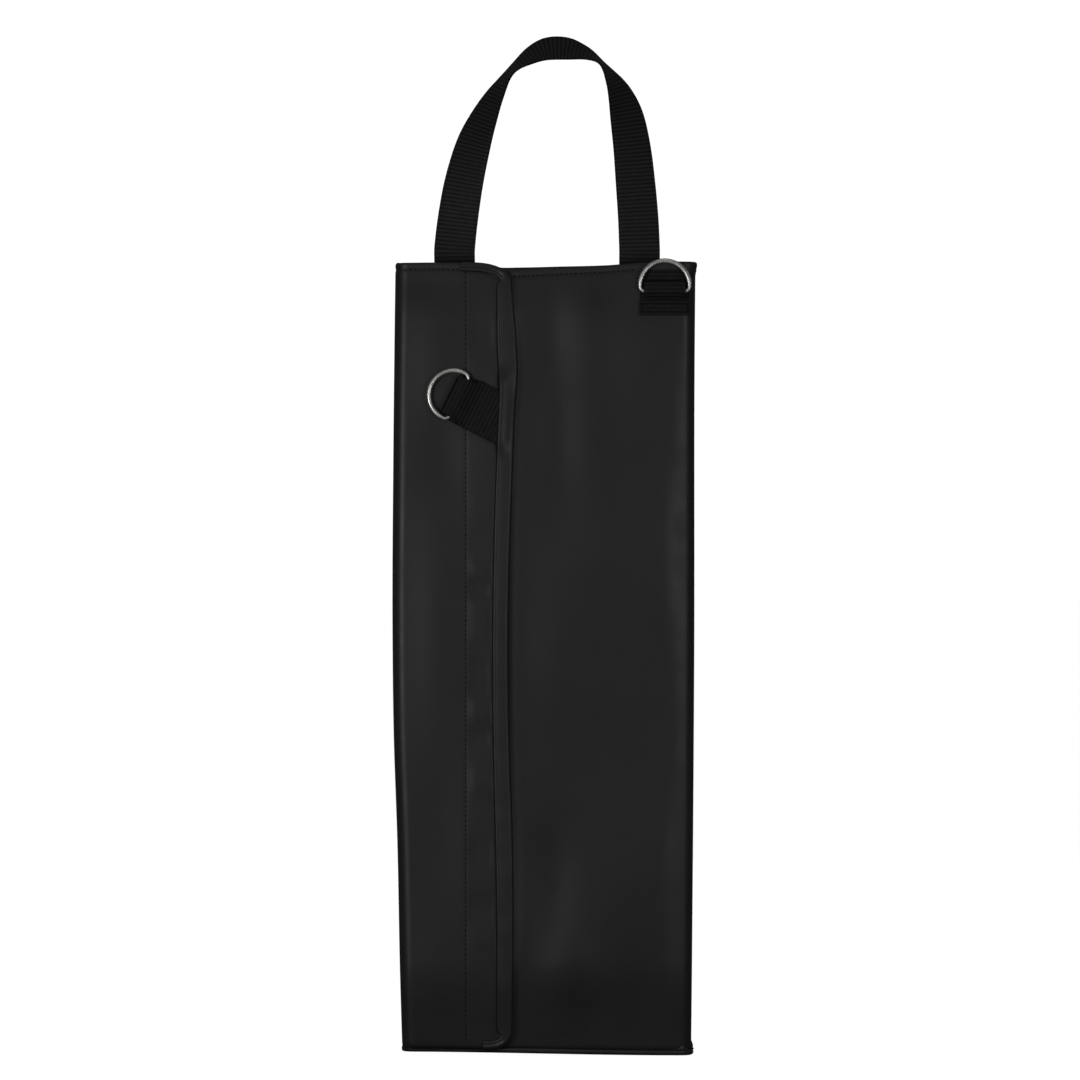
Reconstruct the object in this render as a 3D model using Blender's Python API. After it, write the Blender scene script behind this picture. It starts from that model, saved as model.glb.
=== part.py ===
"""Drum stick bag: a flat hanging pouch of soft imitation leather with a side flap and a webbing handle.

Frame: metres, +Z up, +X to the right as the front is seen, the front faces -Y.
The origin is the middle of the top hem. The pouch hangs below it and the handle stands above it.
Lengths in the constants are millimetres.
"""

import math

import bmesh
import bpy
from mathutils import Matrix, Vector

MM = 0.001

# ---- driving sizes -------------------------------------------------------------------------
BAG_WIDTH = 183.0
BAG_HEIGHT = 480.0
HALF_WIDTH = BAG_WIDTH / 2

LEATHER = 1.2            # coated outer sheet
LINING = 0.8             # woven inner sheet
BACK_FOAM = 3.0
FRONT_FOAM = 1.5
CLEAR = 0.3              # gap between sheets that touch
SEAM = 3.5               # how far linings stay inside the side edges
LIFT = 4.0               # how far linings and padding stay above the floor
MOUTH = -3.0             # top of the linings
FRONT_TOP = -0.8         # top of the front layers, a little below the back ones
BACK_HEM = -14.0         # lower edge of each turned-in hem
FRONT_HEM = -12.0
BACK_FOAM_TOP = -50.0
FRONT_FOAM_TOP = -34.0
TAPE_WIDTH = 2.6         # binding round the slit's edge, seen from the front
TAPE_FRONT = -11.9
SIDE_FRONT = -10.9       # front edge of the left side panel, behind the flap's hinge

# ---- layers, front (-Y) to back (+Y): each is the sheet's outer, front-side face ------------
BACK_FACE = 15.0         # rear face of the back panel
BACK_FRONT = BACK_FACE - LEATHER
BACK_FOAM_REAR = BACK_FRONT - CLEAR
BACK_FOAM_FRONT = BACK_FOAM_REAR - BACK_FOAM
BACK_LINING_REAR = BACK_FOAM_FRONT - CLEAR
BACK_LINING_FRONT = BACK_LINING_REAR - LINING

FRONT_FACE = -11.2       # outer face of the front panel
FRONT_REAR = FRONT_FACE + LEATHER
FRONT_FOAM_REAR = FRONT_REAR + CLEAR + FRONT_FOAM
FRONT_LINING_REAR = FRONT_FOAM_REAR + CLEAR + LINING

STRIP = 1.0              # thickness of the hook strip and of the loop strip
LOOP_FRONT = FRONT_FACE - CLEAR - STRIP
HOOK_REAR = LOOP_FRONT - CLEAR
HOOK_FRONT = HOOK_REAR - STRIP
FLAP_LINING_REAR = HOOK_FRONT - CLEAR
FLAP_LINING_FRONT = FLAP_LINING_REAR - LINING
FLAP_REAR = FLAP_LINING_FRONT - CLEAR
FLAP_FACE = FLAP_REAR - LEATHER

# ---- flap and slit ---------------------------------------------------------------------------
FLAP_EDGE = -20.0        # free edge of the closed flap
FLAP_SEAM = -27.3        # row of stitches beside the free edge
HOOK_LEFT = -47.5        # row of stitches on the far side of the hook strip
HOOK_RIGHT = -27.6
STRIP_ENDS = (-470.0, -8.0)
SLIT_EDGE = -58.0        # free edge of the front panel, under the flap
FLAP_HINGE = Vector((-HALF_WIDTH, -13.0, 0.0))
FLAP_TOP = -1.0
FLAP_BOTTOM = -478.0
FLAP_CORNER_TOP = (22.0, 13.0)
FLAP_CORNER_BOTTOM = (14.0, 10.0)
EDGE_WALL = 0.9          # the strip turned round the free edge
EDGE_CHAMFER = 0.5

# ---- D-rings and their tabs --------------------------------------------------------------------
WIRE_RADIUS = 1.3
RING_ARC = 15.0          # radius of the wire's centreline round the bow
RING_RISE = 3.4          # from the bar's axis to the centre of the bow
RING_CORNER = 3.0
TAB_WIDTH = 30.0
TAB_THICKNESS = 2.4      # two layers of webbing sewn together
TAB_NECK = 25.2          # where the webbing is gathered to pass through the ring
TAB_SHOULDER = (2.5, 6.5)  # it widens between these distances below the bar
TAB_LOOP = 3.5           # how far the slack loop reaches past the bar
TAB_SEWN = 4.0           # the under layer lies flat from this far below the bar
TAB_SLOPE = (3.6, 0.62)  # a point of the top layer's slope: below the bar, and share of the height
TAB_MEET = 6.5           # the top layer lies flat from this far below the bar
WEB_WALL = 1.4

TOP_RING_BAR = Vector((73.4, FRONT_FACE - CLEAR - 3.0, -17.6))
TOP_TAB_LENGTH = 14.6    # from the bar down to the sewn end
FLAP_TAB_ANGLE = 27.0    # how far the tab on the flap points above the horizontal
FLAP_TAB_HINGE = Vector((-28.6, FLAP_FACE - 1.95, 0.0))
FLAP_TAB_ROOT = FLAP_TAB_HINGE.x - 0.4
FLAP_RING_BAR = Vector((-51.9, FLAP_FACE - CLEAR - 3.3, -82.6))

# ---- handle ----------------------------------------------------------------------------------------
WEBBING = 25.0
WEBBING_THICKNESS = 1.5
HANDLE_PIVOT = Vector((0.0, 12.3, 4.5))
LEFT_LEG = -54.3
RIGHT_LEG = 58.0
ANCHOR_DEPTH = 45.0      # how far each end is sewn in below the hem
ANCHOR_TOP = 2.7
CROWN_LEAN = 1.5         # the standing loop leans back by this much at its top

# Stations along the standing loop, left leg to right leg: the middle of the strap (x, z) and the
# width it shows from the front. The strap is always 25 wide, so where less shows it is turned,
# with its inner edge towards the front.
HANDLE_STATIONS = (
    (LEFT_LEG, 3.5, WEBBING),
    (LEFT_LEG, 10.0, WEBBING),
    (-52.2, 27.0, 24.7),
    (-48.5, 49.0, 23.8),
    (-42.8, 71.5, 21.4),
    (-36.4, 88.0, 17.0),
    (-29.4, 102.3, 12.3),
    (-20.4, 115.8, 8.0),
    (-9.2, 124.6, 12.5),
    (0.0, 129.0, 15.3),
    (8.0, 130.0, 15.8),
    (16.5, 129.2, 14.5),
    (27.0, 126.2, 10.0),
    (35.2, 120.8, 8.0),
    (42.0, 111.0, 13.5),
    (46.6, 101.5, 17.6),
    (50.4, 88.5, 21.3),
    (53.5, 69.0, 23.3),
    (55.6, 47.5, 24.3),
    (57.2, 27.0, 24.8),
    (RIGHT_LEG, 10.0, WEBBING),
    (RIGHT_LEG, 3.5, WEBBING),
)
STEPS_PER_STATION = 2


# ---- helpers ------------------------------------------------------------------------------------------
def clear_scene():
    for old in list(bpy.data.objects):
        bpy.data.objects.remove(old, do_unlink=True)


def material(name, colour, roughness, metallic=0.0):
    mat = bpy.data.materials.new(name)
    mat.use_nodes = True
    shader = mat.node_tree.nodes["Principled BSDF"]
    shader.inputs["Base Color"].default_value = (*colour, 1.0)
    shader.inputs["Roughness"].default_value = roughness
    shader.inputs["Metallic"].default_value = metallic
    mat.diffuse_color = (*colour, 1.0)
    return mat


def finish_mesh(name, bm, mat, pivot=Vector((0.0, 0.0, 0.0)), smooth=False):
    """Turn a bmesh in millimetres into an object whose origin is at pivot."""
    bmesh.ops.recalc_face_normals(bm, faces=bm.faces)
    bmesh.ops.transform(bm, matrix=Matrix.Scale(MM, 4) @ Matrix.Translation(-pivot), verts=bm.verts)
    mesh = bpy.data.meshes.new(name)
    bm.to_mesh(mesh)
    bm.free()
    if smooth:
        mesh.shade_smooth()
        mesh.set_sharp_from_angle(angle=math.radians(40))
    obj = bpy.data.objects.new(name, mesh)
    obj.location = pivot * MM
    bpy.context.scene.collection.objects.link(obj)
    mesh.materials.append(mat)
    return obj


def round_edges(obj, width):
    bevel = obj.modifiers.new("edges", "BEVEL")
    bevel.width = width * MM
    bevel.segments = 1
    bevel.limit_method = "ANGLE"
    bevel.angle_limit = math.radians(60)


def sheet(name, mat, x, y, z, pivot=Vector((0.0, 0.0, 0.0)), edge=0.2):
    """A flat rectangular layer between the two limits given for each axis."""
    bm = bmesh.new()
    size = Vector((x[1] - x[0], y[1] - y[0], z[1] - z[0]))
    middle = Vector((sum(x) / 2, sum(y) / 2, sum(z) / 2))
    place = Matrix.Translation(middle) @ Matrix.Diagonal((*size, 1.0))
    bmesh.ops.create_cube(bm, size=1.0, matrix=place)
    obj = finish_mesh(name, bm, mat, pivot)
    round_edges(obj, edge)
    return obj


def ellipse_corner(centre, radii, start, steps=6):
    """Points round a quarter of an ellipse, from the angle start onwards."""
    turn = [math.radians(start + 90.0 * i / steps) for i in range(steps + 1)]
    return [(centre[0] + radii[0] * math.cos(a), centre[1] + radii[1] * math.sin(a)) for a in turn]


def extrude_outline(name, mat, outline, y, pivot=Vector((0.0, 0.0, 0.0)), edge=0.25):
    """A flat layer with the outline given in X and Z."""
    bm = bmesh.new()
    face = bm.faces.new([bm.verts.new((px, y[0], pz)) for px, pz in outline])
    raised = bmesh.ops.extrude_face_region(bm, geom=[face])
    moved = [item for item in raised["geom"] if isinstance(item, bmesh.types.BMVert)]
    bmesh.ops.translate(bm, vec=(0.0, y[1] - y[0], 0.0), verts=moved)
    obj = finish_mesh(name, bm, mat, pivot)
    round_edges(obj, edge)
    return obj


def flap_outline(right):
    """The flap's outline with its free side at right and two rounded corners."""
    left = -HALF_WIDTH + CLEAR
    wide, tall = FLAP_CORNER_BOTTOM
    points = [(left, FLAP_TOP), (left, FLAP_BOTTOM)]
    points += ellipse_corner((right - wide, FLAP_BOTTOM + tall), (wide, tall), 270)
    wide, tall = FLAP_CORNER_TOP
    points += ellipse_corner((right - wide, FLAP_TOP - tall), (wide, tall), 0)
    return points


# ---- pouch ----------------------------------------------------------------------------------------------
def build_pouch(mats):
    leather, lining, foam, tape = mats["leather"], mats["lining"], mats["foam"], mats["tape"]
    floor = -BAG_HEIGHT + LEATHER + CLEAR
    inner = HALF_WIDTH - SEAM
    full = (-HALF_WIDTH, HALF_WIDTH)
    inside = (-inner, inner)
    front_inside = (SLIT_EDGE + 2.0, inner)
    back_front = BACK_FRONT - CLEAR
    anchor_front = HANDLE_PIVOT.y - WEBBING_THICKNESS / 2 - CLEAR

    back_foam = (BACK_FOAM_FRONT, BACK_FOAM_REAR)
    back_cloth = (BACK_LINING_FRONT, BACK_LINING_REAR)
    sheet("back_panel", leather, full, (BACK_FRONT, BACK_FACE), (floor, 0.0), edge=0.3)
    sheet("back_padding", foam, inside, back_foam, (floor + LIFT, BACK_FOAM_TOP))
    sheet("back_lining", lining, inside, back_cloth, (floor + LIFT, MOUTH))
    sheet("back_top_hem", leather, inside, (BACK_FOAM_FRONT, anchor_front), (BACK_HEM, 0.0))

    outside = (HALF_WIDTH - LEATHER, HALF_WIDTH)
    mirrored = (-HALF_WIDTH, -HALF_WIDTH + LEATHER)
    sheet("left_side_panel", leather, mirrored, (SIDE_FRONT, back_front), (floor, 0.0))
    sheet("right_side_panel", leather, outside, (FRONT_REAR + CLEAR, back_front), (floor, 0.0))

    front = (SLIT_EDGE, HALF_WIDTH)
    front_foam = (FRONT_REAR + CLEAR, FRONT_FOAM_REAR)
    front_cloth = (FRONT_FOAM_REAR + CLEAR, FRONT_LINING_REAR)
    front_hem = (FRONT_REAR + CLEAR, FRONT_REAR + CLEAR + LEATHER)
    sheet("front_panel", leather, front, (FRONT_FACE, FRONT_REAR), (floor, FRONT_TOP), edge=0.3)
    sheet("front_padding", foam, front_inside, front_foam, (floor + LIFT, FRONT_FOAM_TOP))
    sheet("front_lining", lining, front_inside, front_cloth, (floor + LIFT, MOUTH))
    sheet("front_top_hem", leather, front_inside, front_hem, (FRONT_HEM, FRONT_TOP))
    tab_patch = (TOP_RING_BAR.x - TAB_WIDTH / 2, TOP_RING_BAR.x + TAB_WIDTH / 2 - 2.0)
    patch_ends = (TOP_RING_BAR.z - TOP_TAB_LENGTH + 0.2, FRONT_HEM - 2.0)
    sheet("top_tab_reinforcement", tape, tab_patch, front_hem, patch_ends)
    binding = (SLIT_EDGE - CLEAR - TAPE_WIDTH, SLIT_EDGE - CLEAR)
    tape_layer = (TAPE_FRONT, FRONT_LINING_REAR)
    sheet("front_edge_binding", tape, binding, tape_layer, (floor + 1.6, -1.5), edge=0.5)

    bottom_layer = (floor + CLEAR, floor + CLEAR + LINING)
    bottom_inside = (FRONT_REAR + CLEAR, back_front - CLEAR)
    sheet("bottom_panel", leather, full, (FRONT_FACE, BACK_FACE), (-BAG_HEIGHT, floor - CLEAR), edge=0.3)
    sheet("bottom_lining", lining, inside, bottom_inside, bottom_layer)

    strip = (HOOK_LEFT, HOOK_RIGHT)
    sheet("loop_strip", mats["loop"], strip, (LOOP_FRONT, LOOP_FRONT + STRIP), STRIP_ENDS)


def build_handle_anchors(mats):
    half = WEBBING_THICKNESS / 2
    layer = (HANDLE_PIVOT.y - half, HANDLE_PIVOT.y + half)
    for name, middle in (("handle_anchor_left", LEFT_LEG), ("handle_anchor_right", RIGHT_LEG)):
        width = (middle - WEBBING / 2, middle + WEBBING / 2)
        sheet(name, mats["webbing"], width, layer, (-ANCHOR_DEPTH, ANCHOR_TOP))


# ---- flap ---------------------------------------------------------------------------------------------------
def build_flap(mats):
    pivot = FLAP_HINGE
    outer = flap_outline(FLAP_EDGE - LEATHER)
    cloth = (-HALF_WIDTH + SEAM, FLAP_SEAM - 1.0)
    cloth_layer = (FLAP_LINING_FRONT, FLAP_LINING_REAR)
    cloth_ends = (FLAP_BOTTOM + LIFT, FLAP_TOP + MOUTH)
    strip = (HOOK_LEFT, HOOK_RIGHT)
    extrude_outline("flap_outer", mats["leather"], outer, (FLAP_FACE, FLAP_REAR), pivot)
    sheet("flap_lining", mats["lining"], cloth, cloth_layer, cloth_ends, pivot)
    sheet("hook_strip", mats["hook"], strip, (HOOK_FRONT, HOOK_REAR), STRIP_ENDS, pivot)
    build_flap_binding(mats["leather"], pivot)


def build_flap_binding(mat, pivot):
    """A strip folded round the free edge: a U in plan, its two legs either side of the flap."""
    wall, chamfer = EDGE_WALL, EDGE_CHAMFER
    front = FLAP_FACE - CLEAR - wall
    rear = FLAP_REAR + CLEAR + wall
    slot_end = FLAP_EDGE - wall
    plan = (
        (FLAP_SEAM, front + wall), (FLAP_SEAM, front + chamfer), (FLAP_SEAM + chamfer, front),
        (FLAP_EDGE - chamfer, front), (FLAP_EDGE, front + chamfer), (FLAP_EDGE, rear - chamfer),
        (FLAP_EDGE - chamfer, rear), (FLAP_SEAM, rear), (FLAP_SEAM, rear - wall),
        (slot_end, rear - wall), (slot_end, front + wall),
    )
    low = FLAP_BOTTOM + FLAP_CORNER_BOTTOM[1]
    high = FLAP_TOP - FLAP_CORNER_TOP[1]
    bm = bmesh.new()
    face = bm.faces.new([bm.verts.new((px, py, low)) for px, py in plan])
    raised = bmesh.ops.extrude_face_region(bm, geom=[face])
    moved = [item for item in raised["geom"] if isinstance(item, bmesh.types.BMVert)]
    bmesh.ops.translate(bm, vec=(0.0, 0.0, high - low), verts=moved)
    finish_mesh("flap_edge_binding", bm, mat, pivot)


# ---- D-rings and tabs --------------------------------------------------------------------------------------------
def ring_axes(angle):
    """Directions of a ring or tab lying flat on the front: along it, and across it."""
    lean = math.radians(angle)
    along = Vector((-math.sin(lean), 0.0, math.cos(lean)))
    across = Vector((math.cos(lean), 0.0, math.sin(lean)))
    return along, across


def ring_centreline():
    """Points (across, along) round the ring, from the middle of the bar."""
    foot = RING_ARC - RING_CORNER
    points = [(-foot + 2 * foot * i / 5, 0.0) for i in range(6)]
    for i in range(1, 5):
        a = math.radians(-90 + 90 * i / 4)
        points.append((foot + RING_CORNER * math.cos(a), RING_CORNER + RING_CORNER * math.sin(a)))
    for i in range(1, 24):
        a = math.pi * i / 24
        points.append((RING_ARC * math.cos(a), RING_RISE + RING_ARC * math.sin(a)))
    for i in range(4):
        a = math.radians(180 + 90 * i / 4)
        points.append((-foot + RING_CORNER * math.cos(a), RING_CORNER + RING_CORNER * math.sin(a)))
    return points


def build_d_ring(name, mat, bar, angle):
    along, across = ring_axes(angle)
    sides = 10
    path = [bar + across * a + along * b for a, b in ring_centreline()]
    count = len(path)
    bm = bmesh.new()
    rings = []
    for i, point in enumerate(path):
        tangent = (path[(i + 1) % count] - path[i - 1]).normalized()
        front = Vector((0.0, -1.0, 0.0))
        flat = tangent.cross(front)
        turns = [2 * math.pi * k / sides for k in range(sides)]
        rings.append([bm.verts.new(point + (flat * math.cos(t) + front * math.sin(t)) * WIRE_RADIUS)
                      for t in turns])
    for i in range(count):
        near, far = rings[i], rings[(i + 1) % count]
        for k in range(sides):
            m = (k + 1) % sides
            bm.faces.new((near[k], near[m], far[m], far[k]))
    return finish_mesh(name, bm, mat, bar, smooth=True)


def tab_section(length, bar_height):
    """Side view (along, out) of a webbing tab: a flat tail and a slack loop round the bar.

    The tail lies between 0 and TAB_THICKNESS out. The loop's slot holds the bar at (0, bar_height).
    """
    hole = WIRE_RADIUS + CLEAR
    shell = hole + WEB_WALL
    sewn = [(-length * (3 - i) - TAB_SEWN * i) / 3 for i in range(3)]
    outer = [(reach, 0.0) for reach in sewn] + [(0.0, 0.0), (TAB_LOOP, 0.0)]
    for i in range(1, 8):
        a = math.radians(-90 + 180 * i / 8)
        outer.append((TAB_LOOP + shell * math.cos(a), bar_height + shell * math.sin(a)))
    outer += [(TAB_LOOP, bar_height + shell), (0.0, bar_height + shell)]
    outer += [(-TAB_SLOPE[0], bar_height + shell * TAB_SLOPE[1]), (-TAB_MEET, TAB_THICKNESS)]
    outer += [(reach, TAB_THICKNESS) for reach in reversed(sewn)]
    slot = []
    for middle, start in ((TAB_LOOP, -90), (0.0, 90)):
        for i in range(7):
            a = math.radians(start + 180 * i / 6)
            slot.append((middle + hole * math.cos(a), bar_height + hole * math.sin(a)))
    return outer, slot


def tab_half_width(along):
    """Half the webbing's width: full on the sewn tail, gathered where it passes through the ring."""
    start, end = TAB_SHOULDER
    share = min(max((-along - start) / (end - start), 0.0), 1.0)
    return (TAB_NECK + (TAB_WIDTH - TAB_NECK) * share) / 2


def build_tab(name, mat, bar, face_y, angle, length, cut_x=None, pivot=Vector((0.0, 0.0, 0.0))):
    """A folded webbing tab that lies on the face at face_y and holds a ring's bar.

    With cut_x the tail's end follows a vertical seam at that X instead of lying square.
    """
    along, across = ring_axes(angle)
    base_y = face_y - CLEAR
    bar_height = base_y - bar.y

    def place(point, side):
        reach, out = point
        width = side * tab_half_width(reach)
        spot = Vector((bar.x, base_y - out, bar.z)) + across * width
        if cut_x is None or reach > -length + 0.001:
            return spot + along * reach
        return spot + along * ((cut_x - spot.x) / along.x)

    bm = bmesh.new()
    loops = []
    for ring in tab_section(length, bar_height):
        left = [bm.verts.new(place(p, -1)) for p in ring]
        right = [bm.verts.new(place(p, 1)) for p in ring]
        for i in range(len(ring)):
            j = (i + 1) % len(ring)
            bm.faces.new((left[i], left[j], right[j], right[i]))
        loops.append((left, right))
    for side in (0, 1):
        rims = []
        for pair in loops:
            ring = pair[side]
            rims += [bm.edges.get((ring[i], ring[(i + 1) % len(ring)])) for i in range(len(ring))]
        bmesh.ops.triangle_fill(bm, edges=rims, use_beauty=True)
    return finish_mesh(name, bm, mat, pivot)


def build_rings(mats):
    build_tab("top_ring_tab", mats["webbing"], TOP_RING_BAR, FRONT_FACE, 0.0, TOP_TAB_LENGTH)
    build_d_ring("top_d_ring", mats["nickel"], TOP_RING_BAR, 0.0)
    lean = 90.0 - FLAP_TAB_ANGLE
    along, _ = ring_axes(lean)
    length = (FLAP_TAB_ROOT - FLAP_RING_BAR.x) / -along.x
    build_tab("flap_ring_tab", mats["webbing"], FLAP_RING_BAR, FLAP_FACE - CLEAR, lean, length,
              FLAP_TAB_ROOT, FLAP_TAB_HINGE)
    build_d_ring("flap_d_ring", mats["nickel"], FLAP_RING_BAR, lean)


# ---- handle -----------------------------------------------------------------------------------------------------
def spline(values, steps):
    """Points of a Catmull-Rom curve through the vectors in values, steps to each stretch."""
    ends = [2 * values[0] - values[1], *values, 2 * values[-1] - values[-2]]
    curve = []
    for a, b, c, d in zip(ends, ends[1:], ends[2:], ends[3:]):
        for i in range(steps):
            t = i / steps
            curve.append(0.5 * (2 * b + (c - a) * t + (2 * a - 5 * b + 4 * c - d) * t * t
                                + (3 * b - a - 3 * c + d) * t ** 3))
    curve.append(values[-1].copy())
    return curve


def build_handle(mat):
    stations = spline([Vector(s) for s in HANDLE_STATIONS], STEPS_PER_STATION)
    top = max(s.y for s in stations)
    bm = bmesh.new()
    sections = []
    for i, here in enumerate(stations):
        before, after = stations[max(i - 1, 0)], stations[min(i + 1, len(stations) - 1)]
        path = Vector((after.x - before.x, 0.0, after.y - before.y)).normalized()
        inward = Vector((path.z, 0.0, -path.x))
        shown = min(here.z, WEBBING)
        depth = math.sqrt(WEBBING ** 2 - shown ** 2)
        across = (inward * shown + Vector((0.0, -depth, 0.0))) / WEBBING
        normal = path.cross(across).normalized()
        lean = CROWN_LEAN * (here.y / top) ** 2
        middle = Vector((here.x, HANDLE_PIVOT.y + lean, here.y))
        corners = ((-1, -1), (1, -1), (1, 1), (-1, 1))
        sections.append([bm.verts.new(middle + across * (u * WEBBING / 2)
                                      + normal * (v * WEBBING_THICKNESS / 2)) for u, v in corners])
    for near, far in zip(sections, sections[1:]):
        for k in range(4):
            m = (k + 1) % 4
            bm.faces.new((near[k], near[m], far[m], far[k]))
    bm.faces.new(sections[0])
    bm.faces.new(sections[-1])
    return finish_mesh("handle_webbing", bm, mat, HANDLE_PIVOT)


def main():
    clear_scene()
    mats = {
        "leather": material("soft_black_leather", (0.018, 0.018, 0.018), 0.5),
        "lining": material("black_lining", (0.022, 0.022, 0.023), 0.85),
        "foam": material("grey_foam", (0.12, 0.12, 0.12), 0.95),
        "tape": material("black_binding_tape", (0.016, 0.016, 0.016), 0.8),
        "loop": material("black_loop_tape", (0.02, 0.02, 0.02), 0.95),
        "hook": material("black_hook_tape", (0.017, 0.017, 0.017), 0.7),
        "webbing": material("black_webbing", (0.01, 0.01, 0.01), 0.75),
        "nickel": material("nickel_wire", (0.62, 0.61, 0.59), 0.22, 1.0),
    }
    build_pouch(mats)
    build_handle_anchors(mats)
    build_flap(mats)
    build_rings(mats)
    build_handle(mats["webbing"])


main()
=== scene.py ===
"""Looks of the drum stick bag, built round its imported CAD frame.

Everything is in the frame of the CAD part. Lengths in the tables and helpers are millimetres,
and the origin is the middle of the top hem. The front faces -Y.
"""

import math

import bpy
import numpy as np
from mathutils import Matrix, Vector


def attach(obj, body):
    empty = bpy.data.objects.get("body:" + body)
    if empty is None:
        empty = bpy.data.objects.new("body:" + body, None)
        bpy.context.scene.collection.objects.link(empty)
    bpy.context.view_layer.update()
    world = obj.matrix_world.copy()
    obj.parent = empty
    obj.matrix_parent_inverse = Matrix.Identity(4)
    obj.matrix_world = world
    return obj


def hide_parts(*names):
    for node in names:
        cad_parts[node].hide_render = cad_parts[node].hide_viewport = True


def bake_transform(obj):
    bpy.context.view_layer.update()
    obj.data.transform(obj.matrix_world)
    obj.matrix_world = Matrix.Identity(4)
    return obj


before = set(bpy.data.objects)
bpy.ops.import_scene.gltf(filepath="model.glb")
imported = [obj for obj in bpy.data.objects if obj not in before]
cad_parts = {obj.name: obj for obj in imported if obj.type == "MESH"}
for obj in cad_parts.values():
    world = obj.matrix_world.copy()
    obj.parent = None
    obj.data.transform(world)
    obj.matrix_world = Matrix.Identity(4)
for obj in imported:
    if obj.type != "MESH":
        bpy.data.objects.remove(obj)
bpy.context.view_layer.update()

MM = 0.001
UV_PER_MM = 0.01

# ---- layers, repeated from the CAD part ----
FRONT_FACE = -11.2
FLAP_FACE = -16.4
BACK_FACE = 15.0
LEATHER = 1.2
SLIT_EDGE = -58.0
DEPTH, SEAM_Z = 480.0, -478.0   # depth of the bag, and the height where its bottom is sewn on
HOOK_LEFT, HOOK_RIGHT = -47.5, -27.6
LOOP_FACE, HOOK_FACE, TAPE = -12.5, -13.8, 0.95
BINDING_FACE = -12.1

WIRE_RADIUS = 1.3
RING_ARC, RING_RISE, RING_CORNER = 15.0, 3.4, 3.0
TOP_BAR = (73.4, -14.5, -17.6)
FLAP_BAR = (-51.9, -20.0, -82.6)
TAB_LEAN = 63.0                 # how far the ring on the flap leans from upright, in degrees
WEBBING, WEBBING_THICKNESS, RIB_PITCH = 25.0, 1.5, 2.4
HANDLE_ENDS = (-54.3, 58.0)     # X of the two boxes of stitches that hold the handle
TAB_WIDTH, TAB_NECK = 30.0, 25.2
TAB_LAY = 0.25                  # gap between a tab and the leather that it lies on

# ---- outline of the bag, as it hangs ----
# each pair is (depth below the hem, X)
LEFT_EDGE = ((0, -90.5), (120, -91.8), (216, -92.3), (288, -91.5), (350, -89.4), (432, -87.7),
             (480, -86.4))
RIGHT_EDGE = ((0, 92.4), (48, 92.0), (240, 91.7), (336, 91.1), (408, 90.5), (480, 89.9))
FLAP_FREE_EDGE = ((14, -20.2), (50, -17.2), (68, -16.6), (86, -17.8), (130, -19.7), (200, -21.9),
                  (225, -22.2), (290, -21.6), (363, -19.4), (436, -19.4), (469, -20.0))
FLAP_SEAM = ((14, -27.3), (52, -27.0), (77, -25.8), (110, -27.0), (165, -28.9), (222, -29.8),
             (290, -29.5), (363, -27.9), (400, -27.3), (480, -27.3))
# each pair is (X, Z) of the top edge
TOP_EDGE = ((-92, 0.6), (-69, 0.6), (-39, -1.2), (-27, -3.0), (-15, -3.0), (10, -2.4), (34, -1.8),
            (70, 0.6), (93, 0.6))
# radii of the folds: front right, the two at the back, and the flap's
FOLD_FRONT, FOLD_BACK, FOLD_FLAP = 7.6, 9.0, 7.5
SHOULDER = 15.0                 # width over which the front panel slopes to the fold at its right
LAP_X, TUCK_X = -77.0, -85.0    # the lap seam on the back, and where the skin ends under it
CORNER_TOP, CORNER_BOTTOM = (22.0, 11.0), (14.0, 9.0)   # width and height of the flap's corners
ROLL = 1.35                     # radius of a rolled top edge
# each pair is (height above the lower edge, distance inwards)
LOW_EDGE = ((8.0, 0.0), (5.0, 0.0), (3.0, 0.0), (1.6, 0.1), (0.8, 0.35), (0.2, 0.8), (0.0, 1.3))
STRIP_FRONT = 0.72              # how far the turned edge stands in front of the flap
STRIP_SEWN = 1.2                # from the turned edge's inner side to its stitches
# shallow swellings (+) and hollows (-) of the front panel: (X, Z, reach in X, reach in Z, height)
FRONT_RELIEF = ((8, -108, 14, 36, -1.7), (32, -46, 20, 34, 2.0), (4, -36, 11, 26, -0.8),
                (4, -376, 15, 34, -1.9), (16, -428, 18, 24, 2.1), (42, -176, 32, 40, 1.5),
                (48, -300, 34, 44, -1.4), (64, -96, 22, 40, -0.9), (58, -380, 24, 50, 0.9),
                (10, -240, 16, 44, 0.8), (66, -236, 16, 40, -0.5), (50, -446, 22, 26, -0.8))
FLAP_RELIEF = ((-66, -60, 14, 40, 0.8), (-60, -116, 14, 26, -1.1), (-66, -220, 13, 70, 0.8),
               (-64, -350, 14, 50, -0.6), (-66, -430, 14, 30, 0.6), (-72, -12, 22, 12, -0.9))
# puckers of the band over the hook strip: (Z, reach in Z, height)
PUCKERS = ((-43, 13, -0.40), (-64, 9, 0.20), (-187, 5, 0.45), (-199, 4, -0.50), (-213, 6, 0.40),
           (-226, 5, 0.35), (-248, 5, -0.45), (-260, 4, -0.35), (-274, 6, 0.55), (-289, 5, -0.50),
           (-316, 9, 0.50), (-358, 9, -0.45), (-392, 8, -0.40), (-412, 9, 0.25), (-150, 9, 0.2))

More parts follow.
